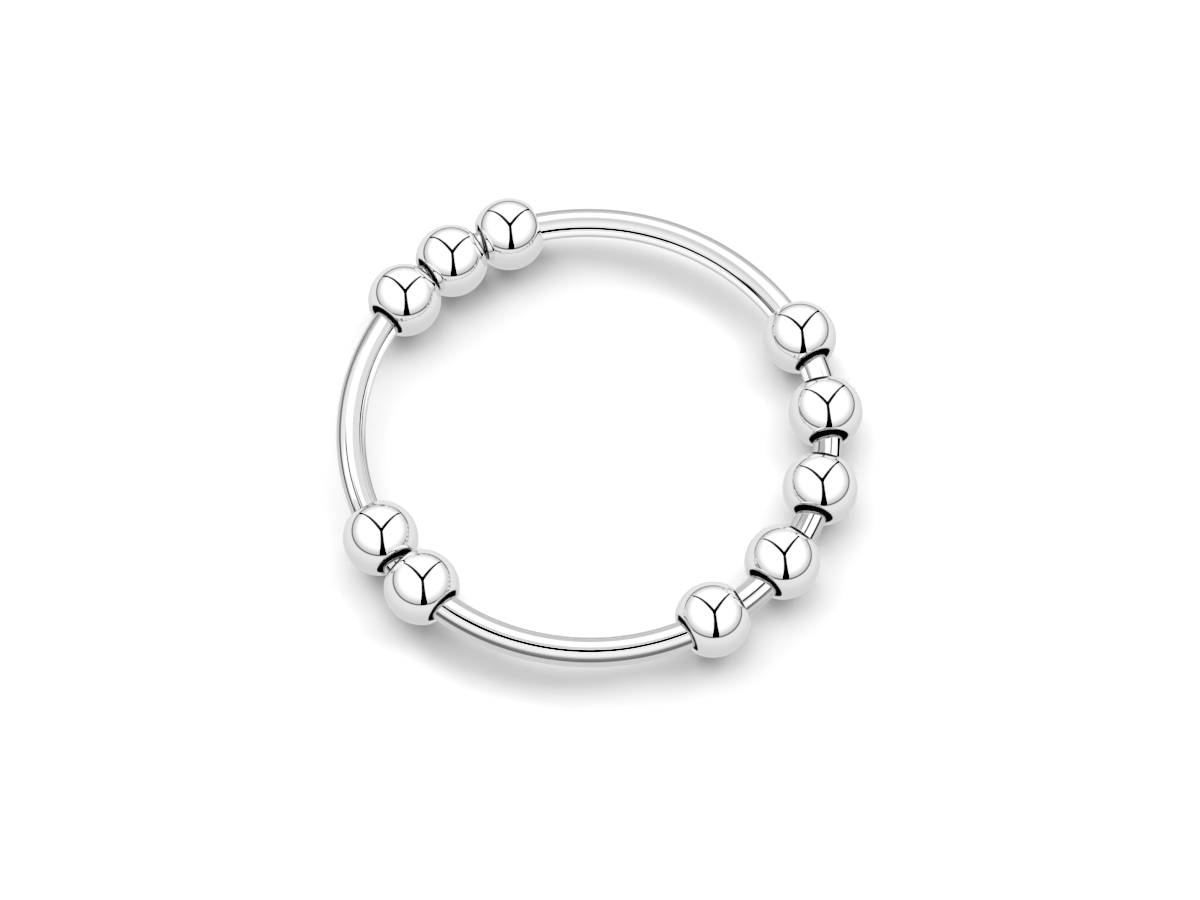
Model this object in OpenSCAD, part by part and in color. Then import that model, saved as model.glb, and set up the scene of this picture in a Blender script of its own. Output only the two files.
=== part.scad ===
// Spinner ring: a closed ring of round wire with ten drilled round beads threaded on it.
// It lies flat as it would on a table: the beads touch z = 0, and the wire hangs low in their bores.
// The origin is where the finger's axis, +Z, meets the table.

/* [Finger size] */
// Inside diameter of the wire ring
finger_d = 18.1; // [15:0.1:22]

/* [Band] */
// Diameter of the round wire
wire_d = 1.2; // [1:0.05:1.5]

/* [Beads] */
// Diameter of a bead
bead_d = 3; // [2.7:0.05:3.5]
// How much wider the bore is than the wire
bore_play = 0.35; // [0.3:0.01:0.45]
// Radius of the rounded lip at each mouth of the bore
lip_r = 0.1; // [0.05:0.01:0.15]
// Gap left between the wire and the bottom of the bore that it rests in
seat_gap = 0.04; // [0.02:0.01:0.06]

/* [Group of three beads] */
// Direction of the first bead, in degrees anticlockwise from +X
trio_start = 111.7; // [100:0.1:115]
// Free gap after each bead, along the beads' circle
trio_gaps = [0.09, 0.05]; // [0.04:0.01:0.5]

/* [Pair of beads] */
// Direction of the first bead, in degrees anticlockwise from +X
pair_start = 211.7; // [200:0.1:215]
// Free gap between the two, along the beads' circle
pair_gap = 0.09; // [0.04:0.01:0.5]

/* [Spread group of five beads] */
// Direction of the first bead, in degrees anticlockwise from +X
five_start = 301.6; // [290:0.1:305]
// Free gap after each bead, along the beads' circle
five_gaps = [1.16, 1, 0.85, 0.96]; // [0.5:0.01:1.5]

/* [Hidden] */
$fn = 96;

wire_r = wire_d / 2;
bead_r = bead_d / 2;
bore_r = (wire_d + bore_play) / 2;
ring_r = finger_d / 2 + wire_r;

// Centre of the lip's arc, which touches both the bore's wall and the bead's sphere
lip_x = bore_r + lip_r;
lip_y = sqrt(pow(bead_r - lip_r, 2) - pow(lip_x, 2));
half_length = lip_y + lip_r;

// The wire bends through a straight bore, so the bore's axis lies halfway between
// the wire at the bead's middle and the wire at its mouths
ring_r_at_mouth = sqrt(pow(ring_r, 2) - pow(half_length, 2));
orbit_r = (ring_r + ring_r_at_mouth) / 2;
bend = ring_r - orbit_r;
wire_drop = sqrt(pow(bore_play / 2 - seat_gap, 2) - pow(bend, 2));

// Turn between two beads whose inner lips touch on the plane halfway between them: half of it reaches
// from a bead's middle to the centre of its inner lip's arc, and on to that arc's far side
inner_lip = [orbit_r - lip_x, lip_y];
touch = 2 * (atan2(inner_lip.y, inner_lip.x) + asin(lip_r / norm(inner_lip)));

// Directions of a group's beads: each is one touching turn and one gap on from the bead before it
function gap_turn(gap) = gap / orbit_r * 180 / PI;
function gaps_before(gaps, n) = n == 0 ? 0 : gap_turn(gaps[n - 1]) + gaps_before(gaps, n - 1);
function group(start, gaps) = [for (n = [0 : len(gaps)]) start + n * touch + gaps_before(gaps, n)];
bead_turns = concat(
    group(trio_start, trio_gaps),
    group(pair_start, [pair_gap]),
    group(five_start, five_gaps)
);

bead_names = [for (n = [1 : len(bead_turns)]) str("bead_", n < 10 ? "0" : "", n)];

// One closed ring of wire, soldered and polished with no seam showing
module band() {
    color("silver")
        translate([0, 0, bead_r - wire_drop])
            rotate_extrude()
                translate([ring_r, 0])
                    circle(wire_r);
}

// Half section of a drilled ball, beside its bore's axis, with the corners at both mouths cut away
module bead_blank() {
    mouth = [lip_x, lip_y];
    reach = (bead_r + lip_r) / (bead_r - lip_r);
    difference() {
        intersection() {
            circle(bead_r);
            translate([bore_r, -bead_r])
                square([bead_r, bead_d]);
        }
        for (flip = [0, 1])
            mirror([0, flip])
                polygon([mouth, [0, lip_y], [0, bead_d], reach * mouth]);
    }
}

module bead_section() {
    bead_blank();
    for (side = [-1, 1])
        translate([lip_x, side * lip_y])
            circle(lip_r);
}

// A drilled bead on the ring, its bore along the ring there
module bead(turn) {
    color("gainsboro")
        rotate([0, 0, turn])
            translate([orbit_r, 0, bead_r])
                rotate([90, 0, 0])
                    rotate_extrude()
                        bead_section();
}

band();
for (n = [0 : len(bead_turns) - 1])
    bead(bead_turns[n]);
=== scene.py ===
# Spinner ring: ten drilled silver beads on a closed ring of round silver wire, lying on a white table.
# It is lit as small jewellery is: a white tent of three cloth panels, whose seams meet over the ring,
# soft lamps for the table, and pale and dark cards that show in the silver alone.
from math import atan2, cos, hypot, pi, radians, sin, sqrt, tan

import bmesh
import bpy
from mathutils import Matrix, Quaternion, Vector


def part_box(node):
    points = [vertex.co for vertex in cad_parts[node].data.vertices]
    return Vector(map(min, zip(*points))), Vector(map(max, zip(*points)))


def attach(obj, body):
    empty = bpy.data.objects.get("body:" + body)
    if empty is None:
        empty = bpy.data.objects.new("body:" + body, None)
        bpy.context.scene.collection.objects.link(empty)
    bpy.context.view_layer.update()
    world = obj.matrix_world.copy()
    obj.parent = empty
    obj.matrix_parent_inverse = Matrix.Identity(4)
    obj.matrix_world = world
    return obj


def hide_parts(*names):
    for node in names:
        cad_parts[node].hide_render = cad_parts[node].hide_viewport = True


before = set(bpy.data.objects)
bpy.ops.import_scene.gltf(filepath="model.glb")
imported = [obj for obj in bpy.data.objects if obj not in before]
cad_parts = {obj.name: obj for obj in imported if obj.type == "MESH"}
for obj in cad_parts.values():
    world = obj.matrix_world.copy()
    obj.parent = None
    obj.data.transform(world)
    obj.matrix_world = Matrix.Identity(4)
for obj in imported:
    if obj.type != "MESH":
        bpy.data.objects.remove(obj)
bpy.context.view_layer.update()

MM = 0.001
UP = Vector((0, 0, 1))

# Camera, fitted to the outlines of the beads and the wire in the photograph
CAMERA_PLACE = Vector((0, -57.11, 118.89)) * MM
CAMERA_AIM = Vector((0.448, -0.857, 1.365)) * MM
CAMERA_ROLL = radians(1.88)
CAMERA_NEAREST = 1 * MM
LENS_MM = 96.86
SENSOR_MM = 36

# Sizes of a drilled bead, the same as in part.scad
BEAD_R = 1.5 * MM
BORE_R = 0.775 * MM
LIP_R = 0.1 * MM

# Steps of the fine meshes, close enough for a mirror finish
WIRE_SIDES = 64
RING_STEPS = 384
BEAD_STEPS = 128
BALL_STEPS = 44
LIP_STEPS = 8

# Points nearer to each other than this are merged
WELD = 0.002 * MM

# How far outside the bore's wall a face's middle may lie and still get the bore's near-black colour, which is
# painted shade
BORE_SLACK = 0.02 * LIP_R

# Sizes of what polishing and drilling leave on the metal, and of the table card's mottling
HAZE_SIZE = 0.9 * MM
WAVE_SIZE = 1.6 * MM
WAVE_HEIGHT = 0.0004 * MM
DRILL_GRAIN = 0.12 * MM
DRILL_DEPTH = 0.004 * MM
MOTTLE_SIZE = 2.5 * MM

# Table, in metres
TABLE_R = 2.5
TABLE_SIDES = 64

# Tent. It leans back, and its cloth is a dark line at its rim, then brightens upwards.
# Each row is a height over the rim in degrees, and the tone there
TENT_LEAN = radians(11.6)
TENT_LIGHT = 1.15
TENT_TONES = [
    (-90, 0.62),
    (-40, 0.67),
    (-20, 0.76),
    (-3, 0.78),
    (-2, 0.13),
    (2, 0.13),
    (3, 0.6),
    (9, 0.66),
    (15, 0.8),
    (21, 0.94),
    (27, 1),
    (90, 1),
]

# The tent's seams lie on a plane over the ring that leans with it, SEAM_HEIGHT metres up. Places on the
# plane are shares of that height. A seam's widths are rows of a reach from the meeting, and half its width
SEAM_HEIGHT = 0.5
SEAM_MEETING = Vector((0.06, -0.22))
BACK_SEAM_WIDTHS = [(0, 0.075), (1, 0.055), (3, 0.062), (30, 0.5)]
FRONT_SEAM_WIDTHS = [(0, 0.065), (0.6, 0.1), (1.33, 0.19), (30, 4.5)]

# Columns: name, azimuth in degrees, widths
SEAMS = [
    ("left seam", 128, BACK_SEAM_WIDTHS),
    ("right seam", 60, BACK_SEAM_WIDTHS),
    ("front seam", -81, FRONT_SEAM_WIDTHS),
]

# Level cards over the ring, LEVEL_CARD_HEIGHT metres up, for the wire's mirror.
# Columns: name, tilts of the near and far edge back from straight up in degrees,
# places of the left and right edge in metres, light
LEVEL_CARD_HEIGHT = 1.0
LEVEL_CARDS = [
    ("back card", (13, 60), (-12, 12), 0.38),
    ("right card", (-40, 13), (0.6, 12), 0.38),
    ("top card", (-12, 13), (-0.5, 0.5), -0.2),
    ("front card", (-67, -28), (-12, 12), 0.15),
]

# Cards bent round an upright axis, for the wire's mirror. They fade at both ends, over CARD_FADE.
# Columns: name, two edges as a distance from the axis and a height in mm,
# first and last azimuth in degrees, light, the axis's place in mm.
# RAIL_R is the outer rail's distance, HIGH the height of the cards hung level round the ring,
# and PAPER the height of what lies or stands on the table
CARD_FADE = radians(7)
RING_CARD_STEPS = 120
FINGER_AXIS = (0, 0)
UPPER_LINE_AXIS = (-1.16, 3.44)
INNER_LINE_AXIS = (-0.8, 0.28)
RAIL_R = 30
HIGH = 11.5
PAPER = 0.02
RING_CARDS = [
    ("low back card", ((1000, 30), (1000, 577)), (62, 118), -0.3, FINGER_AXIS),
    # Dark cards over and round the ring: the darkest line along the wire
    ("upper line, left", ((14.7, HIGH), (16.7, HIGH)), (176, 214), -1.5, UPPER_LINE_AXIS),
    ("upper line, front left", ((11, 5), (11, 7.1)), (188, 232), -TENT_LIGHT, FINGER_AXIS),
    ("upper line, front, first part", ((11, 4.6), (11, 7.3)), (232, 251), -TENT_LIGHT, FINGER_AXIS),
    ("upper line, front, second part", ((11, 5), (11, 8.1)), (251, 269), -TENT_LIGHT, FINGER_AXIS),
    ("upper line, front, third part", ((11, 5.3), (11, 8.8)), (269, 283), -TENT_LIGHT, FINGER_AXIS),
    ("upper line, front right", ((11, 6), (11, 10)), (283, 305), -TENT_LIGHT, FINGER_AXIS),
    ("upper line, level part", ((10.85, 7), (11.45, 7)), (234, 283), -TENT_LIGHT, FINGER_AXIS),
    ("upper line, level part at the right", ((10.65, 7), (11.25, 7)), (283, 300), -TENT_LIGHT, FINGER_AXIS),
    ("upper line, low right", ((13.8, HIGH), (15.6, HIGH)), (304, 330), -1.0, UPPER_LINE_AXIS),
    ("upper line, middle right", ((14.1, HIGH), (16.1, HIGH)), (330, 352), -1.5, UPPER_LINE_AXIS),
    ("upper line, top right", ((14.9, HIGH), (16.9, HIGH)), (352, 380), -1.3, UPPER_LINE_AXIS),
    # A dark rail round the ring, about level with it: the line near the wire's outer edge
    ("outer line, top left", ((RAIL_R, 1.78), (RAIL_R, 4.88)), (117.5, 152.3), -0.75, FINGER_AXIS),
    ("outer line, left", ((RAIL_R, 1.25), (RAIL_R, 6.03)), (152.3, 203), -0.5, FINGER_AXIS),
    ("outer line, front", ((RAIL_R, -4.08), (RAIL_R, 4.25)), (203, 309.6), -0.64, FINGER_AXIS),
    ("outer line, low right", ((RAIL_R, 6), (RAIL_R, 10.58)), (309.6, 339.3), -0.8, FINGER_AXIS),
    ("outer line, middle right", ((RAIL_R, 3.09), (RAIL_R, 7.11)), (339.3, 364.3), -TENT_LIGHT, FINGER_AXIS),
    ("outer line, right", ((RAIL_R, -2.34), (RAIL_R, 2.99)), (364.3, 384.7), -1.0, FINGER_AXIS),
    ("outer line, top right", ((RAIL_R, -8.3), (RAIL_R, -2.71)), (384.7, 401.7), -1.0, FINGER_AXIS),
    # A dark rail inside the ring at the left: the line near the wire's inner edge
    ("inner line, left", ((5.04, 2.3), (5.04, 2.85)), (105, 164), -1.2, INNER_LINE_AXIS),
    ("inner line, low left", ((5.04, 2.3), (5.04, 2.85)), (164, 172), -0.6, INNER_LINE_AXIS),
    # Pale and grey paper flat on the table, and a low white wall inside the ring: the wire's lower flanks
    ("white inner wall", ((7, PAPER), (7, 1.9)), (20, 167), 0.6, FINGER_AXIS),
    ("white inner wall, end", ((7, PAPER), (7, 1.9)), (167, 176), 0.3, FINGER_AXIS),
    ("white floor at the back", ((7, PAPER), (8.2, PAPER)), (20, 167), 0.5, FINGER_AXIS),
    ("white floor at the back, end", ((7, PAPER), (8.2, PAPER)), (167, 176), 0.25, FINGER_AXIS),
    ("white floor at the front", ((7.2, PAPER), (8.7, PAPER)), (235, 300), 0.65, FINGER_AXIS),
    ("grey floor at the left", ((7, PAPER), (8.9, PAPER)), (176, 208), -0.28, FINGER_AXIS),
    ("grey floor at the right", ((7, PAPER), (8.9, PAPER)), (330, 375), -0.15, FINGER_AXIS),
    ("white floor outside at the left", ((10.2, PAPER), (11.9, PAPER)), (150, 200), 0.35, FINGER_AXIS),
    ("white floor outside at the back", ((10.4, PAPER), (15, PAPER)), (30, 110), 0.1, FINGER_AXIS),
    ("white floor outside at the front", ((10.5, PAPER), (14, PAPER)), (214, 302), 0.14, FINGER_AXIS),
    # Cloths over the ring and outside it: the broad grey fields along the wire
    ("grey cloth over the left", ((5.6, 3.3), (8, 11)), (114, 185), -0.45, FINGER_AXIS),
    ("grey cloth over the low right", ((5.6, 2.6), (6.3, 5.2)), (330, 352), -0.55, FINGER_AXIS),
    ("grey cloth over the right", ((5.7, 3), (8, 11)), (352, 388), -0.85, FINGER_AXIS),
    ("pale cloth outside at the top left", ((17.2, HIGH), (50, HIGH)), (130, 152), -0.6, UPPER_LINE_AXIS),
    ("pale cloth outside at the left", ((16.4, HIGH), (40, HIGH)), (152, 176), -0.36, UPPER_LINE_AXIS),
]

# Keeps a ring card's first points from being read as a full turn on
TINY_TURN = 0.0001

# Far soft lamps for the table. Columns: name, azimuth, tilt down from straight over the ring
# and the lamp's radius in the sky, all three in degrees, and light
LAMPS = [
    ("lamp behind", 120, 45, 45, 5.6),
    ("lamp at the right", 30, 50, 20, 3.45),
    ("lamp at the left", 130, 65, 12, 2.4),
]


def set_camera():
    data = bpy.data.cameras.new("camera")
    data.lens = LENS_MM
    data.sensor_width = SENSOR_MM
    data.clip_start = CAMERA_NEAREST
    camera = bpy.data.objects.new("camera", data)
    bpy.context.scene.collection.objects.link(camera)
    turn = (CAMERA_AIM - CAMERA_PLACE).to_track_quat("-Z", "Y")
    camera.rotation_mode = "QUATERNION"
    camera.rotation_quaternion = turn @ Quaternion(UP, CAMERA_ROLL)
    camera.location = CAMERA_PLACE
    bpy.context.scene.camera = camera


def linear(hex_colour):
    """An sRGB hex colour, such as "#c8c8c8", as a linear RGBA value."""
    shares = [int(hex_colour[i : i + 2], 16) / 255 for i in (1, 3, 5)]
    return [s / 12.92 if s <= 0.04045 else ((s + 0.055) / 1.055) ** 2.4 for s in shares] + [1]


def add(tree, kind, settings=None, **links):
    """Adds a node, with its settings by name and its inputs by socket name, or by i and a socket number.

    An input is a value, or another node's output.
    """
    node = tree.nodes.new(kind)
    for name, value in (settings or {}).items():
        setattr(node, name, value)
    for name, value in links.items():
        socket = node.inputs[int(name[1:])] if name[1:].isdigit() else node.inputs[name.replace("_", " ")]
        if isinstance(value, bpy.types.NodeSocket):
            tree.links.new(value, socket)
        else:
            socket.default_value = value
    return node


def new_material(name):
    material = bpy.data.materials.new(name)
    material.use_nodes = True
    material.node_tree.nodes.clear()
    return material, material.node_tree


def polished_silver(name, light, dark, roughness):
    """Sterling silver, buffed: an even mirror, with the faint cloudy haze that the buffing wheel leaves.

    Its colour and its roughness each lie between two values that the haze mixes.
    """
    material, tree = new_material(name)
    smooth, rough = roughness
    place = add(tree, "ShaderNodeTexCoord").outputs["Object"]
    haze = add(tree, "ShaderNodeTexNoise", Vector=place, Scale=1 / HAZE_SIZE, Detail=3.0).outputs["Fac"]
    colour = add(tree, "ShaderNodeMix", {"data_type": "RGBA"}, Factor=haze, i6=linear(dark), i7=linear(light))
    hazed = add(tree, "ShaderNodeMapRange", Value=haze, To_Min=smooth, To_Max=rough)
    wave = add(tree, "ShaderNodeTexNoise", Vector=place, Scale=1 / WAVE_SIZE, Detail=1.0).outputs["Fac"]
    bump = add(tree, "ShaderNodeBump", Height=wave, Strength=0.5, Distance=WAVE_HEIGHT)
    shader = add(
        tree,
        "ShaderNodeBsdfPrincipled",
        Base_Color=colour.outputs[2],
        Metallic=1.0,
        Roughness=hazed.outputs["Result"],
        Normal=bump.outputs["Normal"],
    )
    add(tree, "ShaderNodeOutputMaterial", Surface=shader.outputs["BSDF"])
    return material


def bore_painted_shade(name):
    """Silver left as the drill cut it, coloured almost black and dull as painted shade for the deep, narrow
    bore, with a fine uneven grain.
    """
    material, tree = new_material(name)
    # Near-black tones: painted shade for the inside of the bore
    black = linear("#060606")
    grey = linear("#1a1a1a")
    place = add(tree, "ShaderNodeTexCoord").outputs["Object"]
    grain = add(tree, "ShaderNodeTexNoise", Vector=place, Scale=1 / DRILL_GRAIN, Detail=2.0).outputs["Fac"]
    colour = add(tree, "ShaderNodeMix", {"data_type": "RGBA"}, Factor=grain, i6=black, i7=grey)
    bump = add(tree, "ShaderNodeBump", Height=grain, Strength=0.4, Distance=DRILL_DEPTH)
    shader = add(
        tree,
        "ShaderNodeBsdfPrincipled",
        Base_Color=colour.outputs[2],
        Metallic=0.6,
        Roughness=0.6,
        Normal=bump.outputs["Normal"],
    )
    add(tree, "ShaderNodeOutputMaterial", Surface=shader.outputs["BSDF"])
    return material


def table_top(name):
    """Matt card. It is pale grey, and the light over it makes it white."""
    material, tree = new_material(name)
    dark = linear("#a9a9a9")
    light = linear("#ababab")
    place = add(tree, "ShaderNodeTexCoord").outputs["Object"]
    grain = add(tree, "ShaderNodeTexNoise", Vector=place, Scale=1 / MOTTLE_SIZE, Detail=2.0).outputs["Fac"]
    colour = add(tree, "ShaderNodeMix", {"data_type": "RGBA"}, Factor=grain, i6=dark, i7=light)
    shader = add(tree, "ShaderNodeBsdfDiffuse", Color=colour.outputs[2])
    add(tree, "ShaderNodeOutputMaterial", Surface=shader.outputs["BSDF"])
    return material


def card_light(name, light):
    """A clear card that adds its light to the tent's behind it, or takes it away if its light is below zero.

    The share attribute says how much of its light each point gives.
    """
    material, tree = new_material(name)
    clear = add(tree, "ShaderNodeBsdfTransparent")
    share = add(tree, "ShaderNodeAttribute", {"attribute_name": "share"}).outputs["Fac"]
    strength = add(tree, "ShaderNodeMath", {"operation": "MULTIPLY"}, i0=share, i1=light).outputs[0]
    glow = add(tree, "ShaderNodeEmission", Strength=strength)
    both = add(tree, "ShaderNodeAddShader", i0=clear.outputs[0], i1=glow.outputs[0])
    add(tree, "ShaderNodeOutputMaterial", Surface=both.outputs[0])
    material.cycles.emission_sampling = "NONE"
    return material


def mesh_object(name, bm, materials):
    bmesh.ops.recalc_face_normals(bm, faces=bm.faces)
    mesh = bpy.data.meshes.new(name)
    for face in bm.faces:
        face.smooth = True
    bm.to_mesh(mesh)
    bm.free()
    for material in materials:
        mesh.materials.append(material)
    piece = bpy.data.objects.new(name, mesh)
    bpy.context.scene.collection.objects.link(piece)
    return piece


def spin_round(bm, steps):
    """Spins the whole section once round Z, to one closed skin."""
    section = bm.verts[:] + bm.edges[:]
    bmesh.ops.spin(bm, geom=section, cent=(0, 0, 0), axis=UP, angle=2 * pi, steps=steps, use_merge=True)
    bmesh.ops.remove_doubles(bm, verts=bm.verts, dist=WELD)


def make_band(silver):
    """The wire: one closed ring of round wire, with no seam showing."""
    low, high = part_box("band")
    wire_r = (high.z - low.z) / 2
    bm = bmesh.new()
    bmesh.ops.create_circle(bm, segments=WIRE_SIDES, radius=wire_r)
    bmesh.ops.rotate(bm, verts=bm.verts, cent=(0, 0, 0), matrix=Matrix.Rotation(pi / 2, 3, "X"))
    bmesh.ops.translate(bm, verts=bm.verts, vec=(high.x - wire_r, 0, (low.z + high.z) / 2))
    spin_round(bm, RING_STEPS)
    piece = mesh_object("wire_ring", bm, [silver])
    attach(piece, "band")
    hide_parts("band")
    return piece


def arc(bm, vert, centre, angle, steps):
    """Draws an arc from vert round a centre in the half section's plane, and gives its last vertex."""
    made = bmesh.ops.spin(bm, geom=[vert], cent=centre, axis=(0, 1, 0), angle=angle, steps=steps)
    return [v for v in made["geom_last"] if isinstance(v, bmesh.types.BMVert)][0]


def drilled_ball():
    """A ball drilled through along Z, with a rounded lip at each mouth. Its bore's faces have material 1, the
    bore's painted shade.
    """
    lip_x = BORE_R + LIP_R
    lip_y = sqrt((BEAD_R - LIP_R) ** 2 - lip_x**2)
    mouth = atan2(lip_x, lip_y)
    lip_turn = pi / 2 + mouth
    bm = bmesh.new()
    start = bm.verts.new((BEAD_R * sin(mouth), 0, BEAD_R * cos(mouth)))
    end = arc(bm, start, (0, 0, 0), pi - 2 * mouth, BALL_STEPS)
    end = arc(bm, end, (lip_x, 0, -lip_y), lip_turn, LIP_STEPS)
    wall = bmesh.ops.extrude_vert_indiv(bm, verts=[end])["verts"]
    bmesh.ops.translate(bm, verts=wall, vec=(0, 0, 2 * lip_y))
    arc(bm, wall[0], (lip_x, 0, lip_y), lip_turn, LIP_STEPS)
    spin_round(bm, BEAD_STEPS)
    for face in bm.faces:
        middle = face.calc_center_median()
        if hypot(middle.x, middle.y) < BORE_R + BORE_SLACK:
            face.material_index = 1
    return bm


def make_bead(node, silver, bore):
    """One bead, upright on the table where the CAD bead is, its bore along the wire there."""
    low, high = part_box(node)
    middle = (low + high) / 2
    turn = atan2(middle.y, middle.x)
    bm = drilled_ball()
    place = Matrix.Translation((middle.x, middle.y, BEAD_R)) @ Matrix.Rotation(turn, 4, "Z")
    bmesh.ops.transform(bm, matrix=place @ Matrix.Rotation(pi / 2, 4, "X"), verts=bm.verts)
    piece = mesh_object("silver_" + node, bm, [silver, bore])
    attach(piece, node)
    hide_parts(node)
    return piece


def make_table():
    bm = bmesh.new()
    bmesh.ops.create_circle(bm, cap_ends=True, segments=TABLE_SIDES, radius=TABLE_R)
    table = mesh_object("table", bm, [table_top("matt white card")])
    table.visible_glossy = False


def set_tent():
    """The white tent as far surroundings. The camera sees plain white where it looks past the table."""
    world = bpy.data.worlds.new("white tent")
    bpy.context.scene.world = world
    world.use_nodes = True
    tree = world.node_tree
    tree.nodes.clear()
    ray = add(tree, "ShaderNodeTexCoord").outputs["Generated"]
    pole = (0, sin(TENT_LEAN), cos(TENT_LEAN))
    height = add(tree, "ShaderNodeVectorMath", {"operation": "DOT_PRODUCT"}, i0=ray, i1=pole).outputs["Value"]
    share = add(tree, "ShaderNodeMapRange", Value=height, From_Min=-1.0, From_Max=1.0)
    ramp = add(tree, "ShaderNodeValToRGB", Fac=share.outputs["Result"])
    elements = ramp.color_ramp.elements
    # A new stop starts halfway along, and is moved to its place in the next loop
    while len(elements) < len(TENT_TONES):
        elements.new(0.5)
    for element, (degrees_up, tone) in zip(elements, TENT_TONES):
        element.position = (sin(radians(degrees_up)) + 1) / 2
        element.color = (tone, tone, tone, 1)
    tent = add(tree, "ShaderNodeBackground", Color=ramp.outputs["Color"], Strength=TENT_LIGHT)
    plain = add(tree, "ShaderNodeBackground", Color=linear("#f4f4f4"), Strength=1.0)
    looked_at = add(tree, "ShaderNodeLightPath").outputs["Is Camera Ray"]
    both = add(tree, "ShaderNodeMixShader", i0=looked_at, i1=tent.outputs[0], i2=plain.outputs[0])
    add(tree, "ShaderNodeOutputWorld", Surface=both.outputs[0])


def card(name, bm, light, seen_by):
    """A card round the ring that shows only in the mirror of the pieces that it is seen by."""
    if not bm.verts.layers.float.get("share"):
        whole = bm.verts.layers.float.new("share")
        for vert in bm.verts:
            vert[whole] = 1.0
    piece = mesh_object(name, bm, [card_light(name, light)])
    piece.visible_camera = False
    piece.visible_shadow = False
    piece.visible_diffuse = False
    group = bpy.data.collections.new(name + " seen by")
    for other in seen_by:
        group.objects.link(other)
    piece.light_linking.receiver_collection = group


def seam(name, azimuth, widths, seen_by):
    """One dark seam of the tent, from where the seams meet outwards, as a strip that changes width."""
    along = Vector((cos(radians(azimuth)), sin(radians(azimuth))))
    across = Vector((-sin(radians(azimuth)), cos(radians(azimuth))))
    corners = [(SEAM_MEETING + along * reach + across * half) for reach, half in widths]
    corners += [(SEAM_MEETING + along * reach - across * half) for reach, half in reversed(widths)]
    bm = bmesh.new()
    bm.faces.new([bm.verts.new(Vector((*c, 1)) * SEAM_HEIGHT) for c in corners])
    bmesh.ops.rotate(bm, verts=bm.verts, cent=(0, 0, 0), matrix=Matrix.Rotation(-TENT_LEAN, 3, "X"))
    card(name, bm, -TENT_LIGHT, seen_by)


def level_card(name, tilts, sides, light, seen_by):
    """A card level over the ring, from a near to a far edge and from a left to a right one."""
    near, far = (LEVEL_CARD_HEIGHT * tan(radians(tilt)) for tilt in tilts)
    left, right = sides
    corners = ((left, near), (right, near), (right, far), (left, far))
    bm = bmesh.new()
    bm.faces.new([bm.verts.new((*c, LEVEL_CARD_HEIGHT)) for c in corners])
    card(name, bm, light, seen_by)


def ring_card(name, edges, azimuths, light, axis, seen_by):
    """A card bent round an upright axis.

    It fades in round the first azimuth and out round the last, so that the mirror shows no hard end.
    """
    start = radians(azimuths[0]) - CARD_FADE / 2
    turn = radians(azimuths[1] - azimuths[0]) + CARD_FADE
    bm = bmesh.new()
    share = bm.verts.layers.float.new("share")
    verts = [bm.verts.new((reach * MM, 0, height * MM)) for reach, height in edges]
    edge = bm.edges.new(verts)
    bmesh.ops.rotate(bm, verts=verts, cent=(0, 0, 0), matrix=Matrix.Rotation(start, 3, "Z"))
    bmesh.ops.spin(bm, geom=[edge, *verts], cent=(0, 0, 0), axis=UP, angle=turn, steps=RING_CARD_STEPS)
    for vert in bm.verts:
        along = (atan2(vert.co.y, vert.co.x) - start + TINY_TURN) % (2 * pi)
        vert[share] = max(0, min(1, along / CARD_FADE, (turn - along) / CARD_FADE))
    bmesh.ops.translate(bm, verts=bm.verts, vec=(axis[0] * MM, axis[1] * MM, 0))
    card(name, bm, light, seen_by)


def lamp(name, azimuth, tilt, radius, light):
    """A far soft lamp for the table, which the silver doesn't show."""
    data = bpy.data.lights.new(name, "SUN")
    data.angle = 2 * radians(radius)
    data.energy = light
    piece = bpy.data.objects.new(name, data)
    bpy.context.scene.collection.objects.link(piece)
    piece.matrix_world = Matrix.Rotation(radians(azimuth), 4, "Z") @ Matrix.Rotation(radians(tilt), 4, "Y")
    piece.visible_glossy = False


set_camera()
make_table()
# The wire's silver is coloured darker than the beads' silver: painted shade that greys the wire's mirror
painted_shade_wire_silver = polished_silver(
    "sterling silver wire, painted darker than the beads", light="#d9d9d9", dark="#d5d5d5", roughness=(0.015, 0.03)
)
bead_silver = polished_silver(
    "sterling silver bead, mirror buffed", light="#f2f2f2", dark="#f0f0f0", roughness=(0.02, 0.04)
)
# The bore's near-black colour is painted shade for the deep, narrow bore
bore = bore_painted_shade("drilled bore, painted shade")
band = make_band(painted_shade_wire_silver)
bead_nodes = sorted(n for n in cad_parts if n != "band")
beads = [make_bead(node, bead_silver, bore) for node in bead_nodes]

set_tent()
for name, azimuth, widths in SEAMS:
    seam(name, azimuth, widths, beads)
for name, tilts, sides, light in LEVEL_CARDS:
    level_card(name, tilts, sides, light, [band])
for name, edges, azimuths, light, axis in RING_CARDS:
    ring_card(name, edges, azimuths, light, axis, [band])
for name, azimuth, tilt, radius, light in LAMPS:
    lamp(name, azimuth, tilt, radius, light)

bpy.context.scene.view_settings.view_transform = "Standard"
